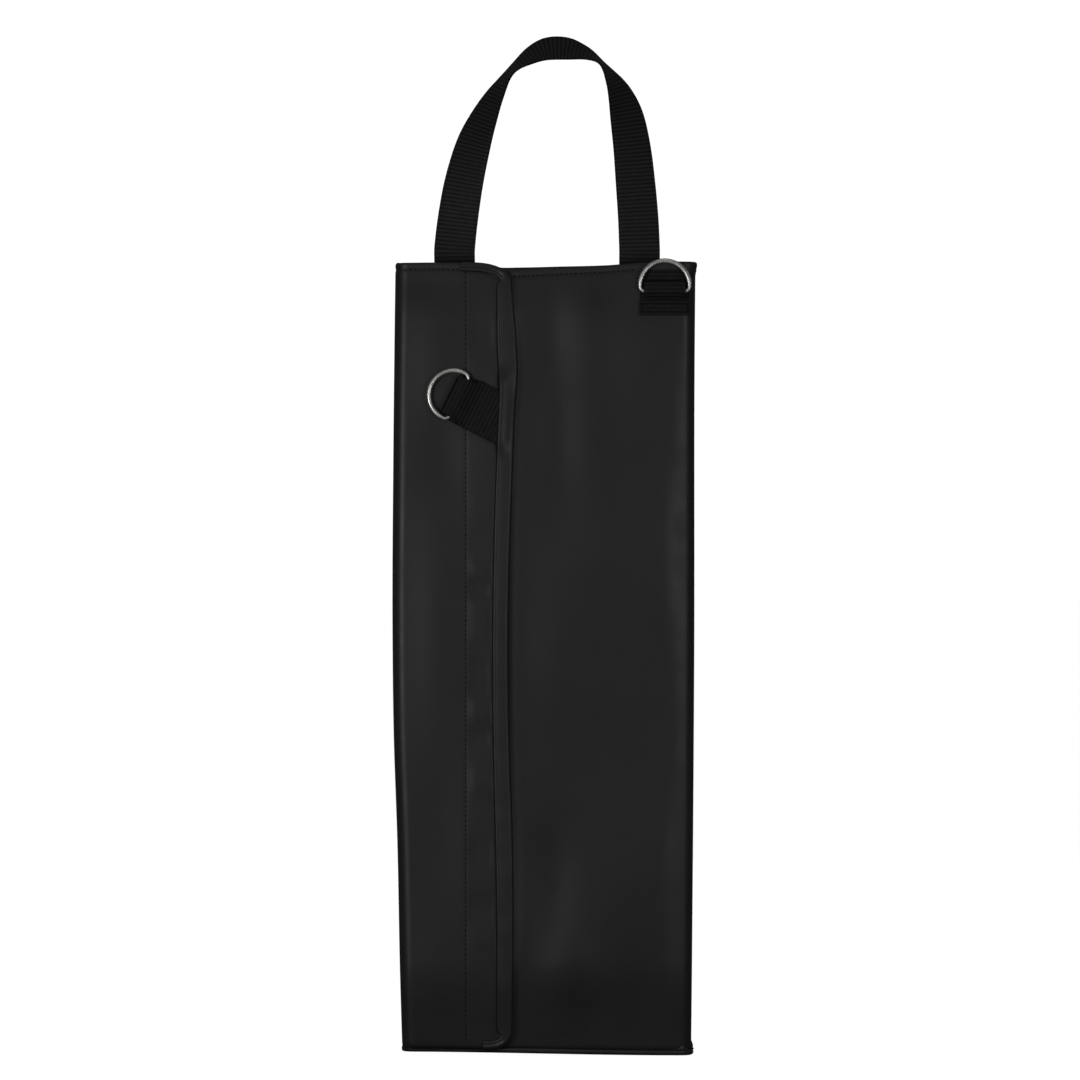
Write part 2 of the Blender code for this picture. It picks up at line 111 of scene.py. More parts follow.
# ---- handle: the middle of the strap (X, Z) and the width that it shows from the front ----
HANDLE_STATIONS = (
    (-54.7, 3.5, 25.0), (-54.7, 10.0, 25.0), (-52.6, 28.6, 24.7), (-48.9, 50.8, 23.8),
    (-43.1, 73.5, 21.4), (-36.7, 90.1, 17.0), (-29.6, 104.5, 11.6), (-20.5, 118.2, 6.0),
    (-9.3, 127.0, 11.5), (0.0, 131.5, 15.0), (8.1, 132.5, 15.8), (16.7, 131.7, 14.5),
    (27.2, 128.6, 9.0), (35.5, 123.2, 4.0), (42.4, 113.3, 10.5), (47.0, 103.7, 16.0),
    (50.8, 90.6, 20.8), (54.0, 71.0, 23.1), (56.1, 49.3, 24.3), (57.7, 28.6, 24.8),
    (58.5, 10.0, 25.0), (58.5, 3.5, 25.0),
)

# ---- stitches ----
# one thread: (place along it, lift, radius)
STITCH_PROFILE = ((-1.0, -0.22, 0.10), (-0.72, 0.02, 0.24), (-0.3, 0.13, 0.28), (0.3, 0.13, 0.28),
                  (0.72, 0.02, 0.24), (1.0, -0.22, 0.10))
HEM_ROW = 4.2                   # how far the row of stitches lies below a top edge
ROW_STEP = 2.0                  # from one point of a row's line to the next
SUNK = 0.02                     # how far the threads on the back lie in the leather
TOWARD, AWAY = (0.0, -1.0, 0.0), (0.0, 1.0, 0.0)


# ---- numbers ----
def curve(table, t):
    """Smooth curve through the pairs of a table, level beyond its ends."""
    px, py = (np.array(c, float) for c in zip(*table))
    slope = np.gradient(py, px)
    t = np.clip(np.asarray(t, float), px[0], px[-1])
    i = np.clip(np.searchsorted(px, t, side="right") - 1, 0, len(px) - 2)
    h = px[i + 1] - px[i]
    s = (t - px[i]) / h
    return ((2 * s ** 3 - 3 * s ** 2 + 1) * py[i] + (s ** 3 - 2 * s ** 2 + s) * h * slope[i]
            + (3 * s ** 2 - 2 * s ** 3) * py[i + 1] + (s ** 3 - s ** 2) * h * slope[i + 1])


def ramp(low, high, t):
    """0 at low, 1 at high, with soft ends; low may be the larger."""
    s = np.clip((np.asarray(t, float) - low) / (high - low), 0.0, 1.0)
    return s * s * (3 - 2 * s)


def hills(table, x, z):
    """Height of the swellings and hollows of a table at (x, z)."""
    total = 0.0
    for hx, hz, rx, rz, height in table:
        total = total + height * np.exp(-((x - hx) / rx) ** 2 - ((z - hz) / rz) ** 2)
    return total


def left_edge(z):
    return curve(LEFT_EDGE, -z)


def right_edge(z):
    """Right side of the bag, a little wider at the hem's corner."""
    return curve(RIGHT_EDGE, -z) + ramp(-8.0, -3.0, z)


def free_edge(z):
    return curve(FLAP_FREE_EDGE, -z)


def seam_edge(z):
    return curve(FLAP_SEAM, -z)


def set_back(z):
    """How far the front layers lie back towards the bottom seam."""
    return 4.6 * ramp(425.0, 490.0, -z)


def top_tilt(z):
    """How far the front layers lie back towards the top hem, away from the ring's tab."""
    return 1.5 * ramp(-34.0, 2.0, z)


def layer_y(face, z):
    """Y of a layer that lies at face in the middle of the bag's height."""
    return face + set_back(z) + top_tilt(z)


def shoulder_slope(z):
    """Slope of the front panel where it runs into the fold at its right."""
    return 0.27 * ramp(-30.0, -100.0, z)


def fold_start(z):
    """X where the fold at the right of the front panel starts."""
    turn = np.arctan(shoulder_slope(z))
    return right_edge(z) - FOLD_FRONT * (1 - np.sin(turn))


def front_y(x, z):
    """Outer face of the front panel."""
    start = fold_start(z)
    shown = ramp(-24.0, -12.0, x) * ramp(0.0, 12.0, start - x)
    near_tab = np.exp(-((x - 73) / 24) ** 2 - ((z + 20) / 20) ** 2)
    height = 1.0 + 0.8 * np.exp(-((z + 42) / 24) ** 2) + 0.8 * np.exp(-((z + 405) / 50) ** 2)
    ridge = height * np.exp(-((x + 22.0) / 6.0) ** 2) * ramp(-30.0, -22.0, x)
    tilt = top_tilt(z) * ramp(58.0, 30.0, x)
    along = np.clip((x - start + SHOULDER) / SHOULDER, 0.0, 1.0)
    shoulder = shoulder_slope(z) * SHOULDER * along ** 2 / 2
    return (FRONT_FACE + set_back(z) + tilt + shoulder - ridge
            - hills(FRONT_RELIEF, x, z) * shown * (1 - near_tab))


def band(x, z):
    """1 in the middle of the strip between the flap's two rows of stitches, 0 at the rows."""
    return ramp(0.0, 6.0, x - HOOK_LEFT) * ramp(0.0, 6.0, seam_edge(z) - x)


def flap_y(x, z):
    """Outer face of the flap."""
    bump = hills(FLAP_RELIEF, x, z)
    lumps = sum(h * np.exp(-((z - pz + 0.25 * (x + 37)) / rz) ** 2) for pz, rz, h in PUCKERS)
    groove = 0.13 * np.exp(-((x - HOOK_LEFT) / 0.9) ** 2)
    groove = groove + 0.5 * np.exp(-((x - seam_edge(z) + 0.5) / 1.1) ** 2) * ramp(-10.0, -18.0, z)
    near_tab = 0.9 * np.exp(-((x + 42) / 16) ** 2 - ((z + 90) / 17) ** 2)
    return layer_y(FLAP_FACE, z) + groove - (bump + lumps * band(x, z)) * (1 - near_tab)


def back_y(x, z):
    """Outer face of the back panel."""
    low = 3.6 * ramp(432.0, 486.0, -z) + 0.8 * ramp(-30.0, 0.0, z)
    wave = 0.5 * np.sin(x / 31.0 + z / 140.0) + 0.35 * np.sin(z / 47.0 + x / 60.0 + 1.0)
    inside = ramp(0.0, 18.0, 82.0 - np.abs(x)) * ramp(25.0, 70.0, -z)
    return BACK_FACE - low - 0.55 + 0.55 * wave * inside


def top_z(x, b):
    """Height of the top edge at x: b is 0 at the front and 1 at the back."""
    dip = np.exp(-((x + 14) / 26) ** 2)
    return curve(TOP_EDGE, x) - dip * (1 - b) + b * ramp(10.0, 60.0, 92.0 - np.abs(x))


def bottom_z(x):
    """Height of the bottom seam at x."""
    return -477.8 - 2.3 * ramp(-92.0, 84.0, x)


# ---- meshes ----
def placed(name, mesh):
    """A smooth object of a mesh, in the scene."""
    mesh.shade_smooth()
    obj = bpy.data.objects.new(name, mesh)
    bpy.context.scene.collection.objects.link(obj)
    return obj


def grid(name, rows, mats, thickness=0.0, wrap=False, caps=False, edge=0.2, lengths=None):
    """A mesh through rows of points. UV is the length across and along it, times UV_PER_MM.

    lengths gives the length along it at each row, where that is not simply measured.
    """
    pts = np.array(rows, float)
    count, width, _ = pts.shape
    faces = []
    for r in range(count - 1):
        for c in range(width if wrap else width - 1):
            d = (c + 1) % width
            faces.append((r * width + c, (r + 1) * width + c, (r + 1) * width + d, r * width + d))
    if caps:
        faces.append(tuple(range(width)))
        faces.append(tuple((count - 1) * width + c for c in reversed(range(width))))
    mesh = bpy.data.meshes.new(name)
    mesh.from_pydata((pts.reshape(-1, 3) * MM).tolist(), [], faces)
    across = np.cumsum(np.linalg.norm(np.diff(pts, axis=1, prepend=pts[:, :1]), axis=2), axis=1)
    along = np.cumsum(np.linalg.norm(np.diff(pts, axis=0, prepend=pts[:1]), axis=2), axis=0)
    if lengths is not None:
        along = np.repeat(np.reshape(lengths, (-1, 1)), width, axis=1)
    layer = mesh.uv_layers.new(name="UVMap")
    index = np.empty(len(mesh.loops), int)
    mesh.loops.foreach_get("vertex_index", index)
    uv = np.stack([across.ravel()[index], along.ravel()[index]], axis=1) * UV_PER_MM
    layer.data.foreach_set("uv", uv.astype(np.float32).ravel())
    for mat in mats if isinstance(mats, list) else [mats]:
        mesh.materials.append(mat)
    obj = placed(name, mesh)
    if thickness:
        solid = obj.modifiers.new("thickness", "SOLIDIFY")
        solid.thickness = thickness * MM
        solid.offset = -1.0
        solid.material_offset = 1 if len(mesh.materials) > 1 else 0
        bevel = obj.modifiers.new("edges", "BEVEL")
        bevel.width = edge * MM
        bevel.segments = 2
        bevel.limit_method = "ANGLE"
        bevel.angle_limit = math.radians(55)
        normals = obj.modifiers.new("normals", "WEIGHTED_NORMAL")
        normals.keep_sharp = True
    return obj


def arc(cx, cy, rx, ry, start, end, count):
    """Points of an ellipse's arc between two angles in degrees, both ends included."""
    turns = np.radians(np.linspace(start, end, count + 1))
    return [(cx + rx * math.cos(a), cy + ry * math.sin(a)) for a in turns]


def resample(points, step):
    """Points every step along a polyline, with the direction at each."""
    p = np.array(points, float)
    at = np.concatenate([[0.0], np.cumsum(np.linalg.norm(np.diff(p, axis=0), axis=1))])
    count = max(2, int(round(at[-1] / step)) + 1)
    where = np.linspace(0.0, at[-1], count)
    spots = np.stack([np.interp(where, at, p[:, k]) for k in range(p.shape[1])], axis=1)
    way = np.gradient(spots, axis=0)
    return spots, way / np.linalg.norm(way, axis=1, keepdims=True)


def stitches(name, lines, pitch=2.9, length=2.1):
    """Short threads along lines of points; each line is (points, outward direction)."""
    verts, faces = [], []
    sides = 6
    for points, outward in lines:
        spots, ways = resample(points, pitch)
        out = np.array(outward, float)
        for spot, way in zip(spots, ways):
            flat = np.cross(way, out)
            flat /= np.linalg.norm(flat)
            up = np.cross(flat, way)
            first = len(verts)
            for t, lift, radius in STITCH_PROFILE:
                centre = spot + way * (t * length / 2) + up * lift
                for k in range(sides):
                    a = 2 * math.pi * k / sides
                    ring = (flat * math.cos(a) + up * math.sin(a)) * radius
                    verts.append((centre + ring) * MM)
            for r in range(len(STITCH_PROFILE) - 1):
                for k in range(sides):
                    m = (k + 1) % sides
                    low, high = first + r * sides, first + (r + 1) * sides
                    faces.append((low + k, low + m, high + m, high + k))
            faces.append(tuple(first + k for k in reversed(range(sides))))
            last = first + (len(STITCH_PROFILE) - 1) * sides
            faces.append(tuple(last + k for k in range(sides)))
    mesh = bpy.data.meshes.new(name)
    mesh.from_pydata([tuple(v) for v in verts], [], faces)
    mesh.materials.append(MATS["thread"])
    return placed(name, mesh)


# ---- materials ----
class Nodes:
    """A Principled material with short helpers for its procedural nodes."""

    def __init__(self, name, colour, roughness, metallic=0.0, specular=0.5):
        self.mat = bpy.data.materials.new(name)
        self.mat.use_nodes = True
        self.tree = self.mat.node_tree
        self.shader = self.tree.nodes["Principled BSDF"]
        self.shader.inputs["Base Color"].default_value = (*colour, 1.0)
        self.shader.inputs["Roughness"].default_value = roughness
        self.shader.inputs["Metallic"].default_value = metallic
        self.shader.inputs["Specular IOR Level"].default_value = specular
        self.mat.diffuse_color = (*colour, 1.0)
        self.coords = self.tree.nodes.new("ShaderNodeTexCoord")

    def link(self, a, b):
        self.tree.links.new(a, b)

    def noise(self, scale, detail=3.0, roughness=0.55, space="Object", stretch=None):
        node = self.tree.nodes.new("ShaderNodeTexNoise")
        node.inputs["Scale"].default_value = scale
        node.inputs["Detail"].default_value = detail
        node.inputs["Roughness"].default_value = roughness
        self.link(self.place(space, stretch), node.inputs["Vector"])
        return node.outputs["Fac"]

    def place(self, space, stretch):
        if stretch is None:
            return self.coords.outputs[space]
        mapping = self.tree.nodes.new("ShaderNodeMapping")
        mapping.inputs["Scale"].default_value = stretch
        self.link(self.coords.outputs[space], mapping.inputs["Vector"])
        return mapping.outputs["Vector"]

    def cells(self, scale, space="Object", feature="DISTANCE_TO_EDGE", stretch=None):
        node = self.tree.nodes.new("ShaderNodeTexVoronoi")
        node.feature = feature
        node.inputs["Scale"].default_value = scale
        self.link(self.place(space, stretch), node.inputs["Vector"])
        return node.outputs["Distance"]

    def wave(self, scale, space, direction):
        node = self.tree.nodes.new("ShaderNodeTexWave")
        node.bands_direction = direction
        node.inputs["Scale"].default_value = scale
        self.link(self.coords.outputs[space], node.inputs["Vector"])
        return node.outputs["Fac"]

    def math(self, how, a, b):
        node = self.tree.nodes.new("ShaderNodeMath")
        node.operation = how
        for socket, value in zip(node.inputs, (a, b)):
            if isinstance(value, (int, float)):
                socket.default_value = value
            else:
                self.link(value, socket)
        return node.outputs[0]

    def mapped(self, value, low, high, start=0.0, end=1.0):
        node = self.tree.nodes.new("ShaderNodeMapRange")
        node.inputs["From Min"].default_value = start
        node.inputs["From Max"].default_value = end
        node.inputs["To Min"].default_value = low
        node.inputs["To Max"].default_value = high
        self.link(value, node.inputs["Value"])
        return node.outputs["Result"]

    def colour_between(self, value, dark, light, start=0.3, end=0.7):
        node = self.tree.nodes.new("ShaderNodeValToRGB")
        node.color_ramp.elements[0].position = start
        node.color_ramp.elements[1].position = end
        node.color_ramp.elements[0].color = (*dark, 1.0)
        node.color_ramp.elements[1].color = (*light, 1.0)
        self.link(value, node.inputs["Fac"])
        self.link(node.outputs["Color"], self.shader.inputs["Base Color"])

    def rough_between(self, value, low, high):
        self.link(self.mapped(value, low, high, 0.3, 0.7), self.shader.inputs["Roughness"])

    def bump(self, height, strength, distance, onto=None):
        node = self.tree.nodes.new("ShaderNodeBump")
        node.inputs["Strength"].default_value = strength
        node.inputs["Distance"].default_value = distance * MM
        self.link(height, node.inputs["Height"])
        if onto is not None:
            self.link(onto, node.inputs["Normal"])
        self.link(node.outputs["Normal"], self.shader.inputs["Normal"])
        return node.outputs["Normal"]


def grey(value):
    return (value, value, value)


def wave_scale(pitch):
    """Scale at which a wave texture repeats every pitch of its coordinates."""
    return 2.0 * math.pi / (20.0 * pitch)


def leather_material(name):
    n = Nodes(name, grey(0.017), 0.5, specular=0.45)
    patches = n.noise(9.0, 3.0)
    n.colour_between(patches, (0.0120, 0.0120, 0.0122), (0.0160, 0.0160, 0.0163))
    n.rough_between(n.noise(60.0, 4.0), 0.43, 0.50)
    soft = n.bump(n.noise(120.0, 3.0), 0.10, 0.5)
    grain = n.bump(n.cells(900.0), 0.22, 0.09, soft)
    n.bump(n.noise(2600.0, 2.0), 0.18, 0.05, grain)
    return n.mat


def cloth_material(name, colour, pitch, roughness=0.9, strength=0.5):
    n = Nodes(name, colour, roughness, specular=0.2)
    scale = wave_scale(pitch * MM)
    weave = n.math("MAXIMUM", n.wave(scale, "Object", "X"), n.wave(scale, "Object", "Z"))
    n.colour_between(n.noise(400.0, 4.0), tuple(c * 0.8 for c in colour),
                     tuple(c * 1.2 for c in colour))
    n.bump(weave, strength, 0.12, n.bump(n.noise(150.0), 0.2, 0.3))
    return n.mat


def webbing_material(name, tone, specular):
    """Ribbed black webbing, with painted shade darkening the furrows between its ribs; tone scales its
    colours.
    """
    n = Nodes(name, grey(0.010 * tone), 0.66, specular=specular)
    fibres = n.noise(55.0, 4.0, 0.6, "UV", (1.0, 14.0, 1.0))
    furrow = n.wave(wave_scale(UV_PER_MM * RIB_PITCH), "UV", "Y")
    # painted shade: the colour is darker in the furrows between the ribs, and its tone varies at random
    # with the fibres
    groove_shade_and_fibres = n.math("MULTIPLY", n.mapped(furrow, 1.0, 0.15), n.mapped(fibres, 0.5, 1.0, 0.3, 0.7))
    n.colour_between(groove_shade_and_fibres, grey(0.0020 * tone), grey(0.0170 * tone), 0.1, 0.95)
    n.rough_between(n.noise(300.0), 0.58, 0.72)
    yarn = n.bump(n.cells(130.0, "UV", "F1", (1.0, 1.6, 1.0)), 0.2, 0.14)
    n.bump(furrow, -0.35, 0.3, n.bump(fibres, 0.15, 0.10, yarn))
    return n.mat


def fuzzy_material(name, colour, scale, strength):
    n = Nodes(name, colour, 0.95, specular=0.15)
    n.shader.inputs["Sheen Weight"].default_value = 0.25
    n.shader.inputs["Sheen Roughness"].default_value = 0.6
    tufts = n.noise(scale, 5.0, 0.7)
    n.colour_between(tufts, tuple(c * 0.5 for c in colour), tuple(c * 1.5 for c in colour))
    n.bump(tufts, strength, 0.5, n.bump(n.cells(scale * 0.6, feature="F1"), 0.5, 0.4))
    return n.mat


def hook_material(name):
    n = Nodes(name, grey(0.016), 0.55, specular=0.4)
    rows = n.math("MULTIPLY", n.wave(190.0, "Object", "X"), n.wave(230.0, "Object", "Z"))
    n.colour_between(rows, grey(0.007), grey(0.024), 0.1, 0.7)
    n.bump(rows, 0.9, 0.6, n.bump(n.noise(1500.0), 0.3, 0.2))
    return n.mat


def thread_material(name):
    n = Nodes(name, grey(0.005), 0.7, specular=0.2)
    twist = n.noise(2500.0, 2.0, stretch=(1.0, 1.0, 0.4))
    n.colour_between(twist, grey(0.003), grey(0.007))
    n.bump(twist, 0.4, 0.08)
    return n.mat


def nickel_material(name):
    n = Nodes(name, (0.72, 0.71, 0.69), 0.38, metallic=1.0)
    n.colour_between(n.noise(70.0, 3.0), (0.68, 0.67, 0.65), (0.76, 0.75, 0.73))
    n.rough_between(n.noise(260.0, 4.0), 0.34, 0.44)
    n.bump(n.noise(900.0, 3.0), 0.06, 0.05)
    return n.mat


MATS = {
    "leather": leather_material("soft_black_leather"),
    "backing": cloth_material("grey_backing", (0.035, 0.035, 0.036), 0.9),
    "lining": cloth_material("black_lining", (0.020, 0.020, 0.021), 0.7),
    "tape": cloth_material("black_binding_tape", grey(0.014), 1.1, 0.8, 0.7),
    "webbing": webbing_material("black_webbing", 1.8, 0.22),
    "tab": webbing_material("black_tab_webbing", 1.0, 0.2),
    "loop": fuzzy_material("black_loop_tape", grey(0.016), 900.0, 0.8),
    "hook": hook_material("black_hook_tape"),
    "thread": thread_material("black_thread"),
    "nickel": nickel_material("nickel_wire"),
}


# ---- skins: plan of a level, from one end of the sheet to the other ----
def quarter(cx, cy, r, start, count):
    """Points round a quarter circle, both ends left out."""
    a = np.radians(start + 90.0 * np.arange(1, count) / count)[:, None]
    return cx + r * np.cos(a), cy + r * np.sin(a)


def joined(parts, z):
    """The arrays x, y and b of a plan, from its parts: b is 0 at the front and 1 at the back."""
    full = [np.broadcast_arrays(*part, z) for part in parts]
    return [np.concatenate([arrays[k] for arrays in full], axis=0) for k in range(3)]


def under_lap(x):
    """How far the skin lies inwards on the back where the flap's skin laps over it."""
    return 1.5 * ramp(4.0, 0.0, x - LAP_X)


def pouch_plan(z):
    """Plan of the outer skin at heights z, one per column: front edge, right fold, back."""
    xr = right_edge(z)
    start = fold_start(z)
    turn = np.arctan(shoulder_slope(z))
    parts = []
    across = np.linspace(0.0, 1.0, 74)[:, None]
    x = SLIT_EDGE + (start - SLIT_EDGE) * across
    parts.append((x, front_y(x, z), 0.0))
    yf = front_y(start, z) + FOLD_FRONT * np.cos(turn)
    yb = back_y(xr - FOLD_BACK, z)
    turns = turn + (math.pi / 2 - turn) * np.arange(1, 10)[:, None] / 10
    x = xr - FOLD_FRONT + FOLD_FRONT * np.sin(turns)
    parts.append((x, yf - FOLD_FRONT * np.cos(turns), 0.0))
    part = np.linspace(0.0, 1.0, 4)[:, None]
    y = yf + (yb - FOLD_BACK - yf) * part
    parts.append((xr, y, part))
    x, y = quarter(xr - FOLD_BACK, yb - FOLD_BACK, FOLD_BACK, 0.0, 9)
    parts.append((x, y, 1.0))
    x = xr - FOLD_BACK + (TUCK_X - xr + FOLD_BACK) * np.linspace(0.0, 1.0, 66)[:, None]
    parts.append((x, back_y(x, z) - under_lap(x), 1.0))
    return joined(parts, z)


def flap_plan(z):
    """Plan of the flap's skin: lap on the back, left side, fold, flap up to its free edge."""
    xl = left_edge(z)
    yb = back_y(xl + FOLD_BACK, z)
    parts = []
    x = LAP_X + (xl + FOLD_BACK - LAP_X) * np.linspace(0.0, 1.0, 5)[:, None]
    parts.append((x, back_y(x, z), 1.0))
    x, y = quarter(xl + FOLD_BACK, yb - FOLD_BACK, FOLD_BACK, 90.0, 9)
    parts.append((x, y, 1.0))
    yf = flap_y(xl + FOLD_FLAP, z)
    part = np.linspace(0.0, 1.0, 7)[:, None]
    y = yb - FOLD_BACK + (yf + FOLD_FLAP - yb + FOLD_BACK) * part
    parts.append((xl, y, 1.0 - part))
    x, y = quarter(xl + FOLD_FLAP, yf + FOLD_FLAP, FOLD_FLAP, 180.0, 10)
    parts.append((x, y, 0.0))
    end = free_edge(z) - 1.2
    x = xl + FOLD_FLAP + (end - xl - FOLD_FLAP) * np.linspace(0.0, 1.0, 70)[:, None]
    parts.append((x, flap_y(x, z), 0.0))
    return joined(parts, z)


def corner_start(end, corner):
    """X where a free corner of the flap starts to turn; end is 0 at the top and -1 at the bottom."""
    return FLAP_FREE_EDGE[end][1] - corner[0]


def corner_drop(x, end, corner):
    """How far a free corner lies within the flap's full height at x."""
    share = np.clip((x - corner_start(end, corner)) / corner[0], 0.0, 0.999)
    return corner[1] * (1 - np.sqrt(1 - share ** 2))


def flap_top(x, b):
    """Top edge of the flap's skin, rounded at the free corner."""
    return top_z(x, 1.0) - 0.9 - corner_drop(x, 0, CORNER_TOP) * (b < 0.5) + 0.9 * b


def flap_bottom(x, b):
    """Lower edge of the flap's skin, rounded at the free corner."""
    return bottom_z(x) + corner_drop(x, -1, CORNER_BOTTOM) * (b < 0.5)


def outwards(x, y):
    """The direction square to a plan, one (x, y) for each of its columns."""
    dx, dy = np.gradient(x), np.gradient(y)
    size = np.hypot(dx, dy)
    return dy / size, -dx / size


def skin_rows(plan, top, bottom, profile, low_profile, levels):
    """Rows of points of a skin: rolled over at the top, then down to its lower edge.

    profile and low_profile hold (distance from the edge, distance inwards).
    """
    entries = [("top", e, d) for e, d in profile]
    last, first_low = profile[-1][0], low_profile[0][0]
    entries += [("mid", f, 0.0) for f in np.linspace(0.0, 1.0, levels)[1:-1]]
    entries += [("low", e, d) for e, d in low_profile]
    rows = []
    for kind, value, inwards in entries:
        nominal = {"top": -value, "low": SEAM_Z + value}.get(kind, -DEPTH * value)
        z = np.full((1, 1), float(nominal))
        x, y, b = plan(z)
        # twice, because the edges' heights depend on x, and x on the height
        for _ in range(2):
            high, low = top(x, b), bottom(x, b)
            if kind == "top":
                z = high - value
            elif kind == "low":
                z = low + value
            else:
                z = high - last + (low + first_low - high + last) * value
            x, y, b = plan_at(plan, z)
        nx, ny = outwards(x[:, 0], y[:, 0])
        rows.append(np.stack([x[:, 0] - nx * inwards, y[:, 0] - ny * inwards, z[:, 0]], axis=1))
    return rows


def plan_at(plan, z):
    """The plan with a height of its own for each column: the diagonal of the plan at all heights."""
    table = plan(z.reshape(1, -1))
    return [np.diagonal(t).reshape(-1, 1) for t in table]


def rolled(depth):
    """Profile of a top edge folded inwards: depth is how far the folded part reaches down."""
    inside = [(ROLL + (depth - ROLL) * share, 2 * ROLL) for share in (1.0, 0.6, 0.25)]
    over = arc(ROLL, ROLL, ROLL, ROLL, 90, 270, 8)
    # a furrow where the stitches pull the leather in
    outside = [(2.2, 0.0), (2.9, 0.06), (3.5, 0.20), (HEM_ROW, 0.36), (4.9, 0.20), (5.6, 0.05), (7.0, 0.0),
               (9.0, 0.0)]
    return inside + over + outside


def build_skins():
    """The pouch's skin, and the flap's, which folds round the left side."""
    rows = skin_rows(pouch_plan, top_z, lambda x, b: bottom_z(x), rolled(11.0), LOW_EDGE, 150)
    pouch = grid("pouch_skin", rows, [MATS["leather"], MATS["backing"]], LEATHER - 0.05)
    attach(pouch, "pouch")
    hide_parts("back_panel", "back_padding", "back_top_hem", "right_side_panel", "front_panel",
                "front_padding", "front_top_hem", "top_tab_reinforcement")

    rows = skin_rows(flap_plan, flap_top, flap_bottom, rolled(3.6), LOW_EDGE, 156)
    flap = grid("flap_skin", rows, [MATS["leather"], MATS["backing"]], LEATHER - 0.05)
    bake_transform(flap)
    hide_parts("left_side_panel", "flap_outer")


# ---- linings, tapes and strips ----
def panel(name, mat, x_range, z_range, y_of, thickness, step=(4.0, 6.0), edge=0.15):
    """A thin layer whose front face follows y_of; x_range gives both sides as functions of z."""
    zs = np.linspace(z_range[0], z_range[1], int(abs(z_range[1] - z_range[0]) / step[1]) + 2)
    wide = abs(x_range[1](zs[0]) - x_range[0](zs[0]))
    share = np.linspace(0.0, 1.0, int(wide / step[0]) + 2)
    rows = []
    for z in zs:
        x = x_range[0](z) + (x_range[1](z) - x_range[0](z)) * share
        rows.append(np.stack([x, y_of(x, z), np.full_like(x, z)], axis=1))
    return grid(name, rows, mat, thickness, edge=edge)


def build_linings():
    """The pouch's lining follows the skin from the slit to the lap; the flap has its own."""
    front_depth, back_depth = 3.4, 4.95
    rows = []
    for f in np.linspace(0.0, 1.0, 60):
        z = np.full((1, 1), -9.0 - 464.0 * f)
        x, y, b = pouch_plan(z)
        x, y, b = x[:, 0], y[:, 0], b[:, 0]
        nx, ny = outwards(x, y)
        inwards = front_depth + (back_depth - front_depth) * b
        px, py = x - nx * inwards, y - ny * inwards + under_lap(x) * b
        # it starts a little way in from the slit
        rows.append(np.stack([px, py, np.full_like(px, z[0, 0])], axis=1)[2:])
    lining = grid("pouch_lining", rows, MATS["lining"], 0.8, edge=0.15)
    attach(lining, "pouch")
    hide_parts("back_lining", "front_lining")

    flap_lining = panel("flap_lining_cloth", MATS["lining"],
                        (lambda z: left_edge(z) + 9.5, lambda z: seam_edge(z) - 1.4), (-4.2, -473.0),
                        lambda x, z: flap_y(x, z) + LEATHER + 0.3, 0.7)
    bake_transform(flap_lining)
    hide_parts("flap_lining")


def tape(kind, right, face):
    """The hook or the loop tape, from HOOK_LEFT to right."""
    return panel(kind + "_strip_tape", MATS[kind], (lambda z: HOOK_LEFT, lambda z: right), (-9.0, -468.0),
                 lambda x, z: layer_y(face, z) + 0.0 * x, TAPE, (2.0, 5.0), 0.3)


def build_fasteners():
    """The hook tape behind the flap, and the loop tape on the front panel that it closes on."""
    hook = tape("hook", HOOK_RIGHT - 1.0, HOOK_FACE)
    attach(hook, "flap")
    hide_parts("hook_strip")
    loop = tape("loop", HOOK_RIGHT, LOOP_FACE)
    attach(loop, "pouch")
    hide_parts("loop_strip")


def build_slit_binding():
    """A tape folded round the free edge of the front panel, under the flap."""
    section = [(-53.6, -12.0), (-55.0, BINDING_FACE), (SLIT_EDGE, BINDING_FACE), (-59.6, -12.0),
               (-60.5, -11.2), (-60.9, -9.6), (-60.5, -8.0), (-59.6, -7.1), (SLIT_EDGE, -6.9),
               (-55.0, -6.9), (-53.6, -7.0)]
    rows = []
    for z in np.linspace(-1.8, -476.5, 90):
        rows.append([(x, layer_y(y, z), z) for x, y in reversed(section)])
    binding = grid("slit_binding_tape", rows, MATS["tape"], 0.55, edge=0.15)
    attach(binding, "pouch")
    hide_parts("front_edge_binding")


def flap_free_outline():
    """Points (x, z) of the flap's free edge: along the top, round both corners, along the bottom."""
    points = []
    start = corner_start(0, CORNER_TOP)
    for x in np.linspace(start - 8.0, start, 5)[:-1]:
        points.append((x, float(flap_top(x, 0.0))))
    wide, tall = CORNER_TOP
    high = float(flap_top(start, 0.0)) - tall
    points += arc(start, high, wide, tall, 90, 0, 16)
    start = corner_start(-1, CORNER_BOTTOM)
    wide, tall = CORNER_BOTTOM
    low = float(bottom_z(start)) + tall
    for z in np.linspace(high, low, 160)[1:-1]:
        points.append((float(free_edge(z)), z))
    return points + arc(start, low, wide, tall, 0, -90, 12) + [(start - 3.0, low - tall)]


def edge_strip_width(z):
    """Width of the turned edge: as wide as the seam says, and narrow round the corners."""
    narrow, wide = 4.2, free_edge(z) - seam_edge(z) + 0.7
    return narrow + (wide - narrow) * ramp(4.0, 14.0, -z) * ramp(4.0, 14.0, z + DEPTH)


def tab_bulge(z):
    """1 where the turned edge covers the end of the tab, 0 elsewhere."""
    return ramp(-121.0, -107.0, z) * ramp(-62.0, -75.0, z)


def strip_point(at, inward, q, y_off):
    """A point on the turned edge: q in from the free edge, y_off in front of the flap's face."""
    x, z = at[0] + inward[0] * q, at[1] + inward[1] * q
    return (x, float(layer_y(FLAP_FACE, z)) - y_off, z)


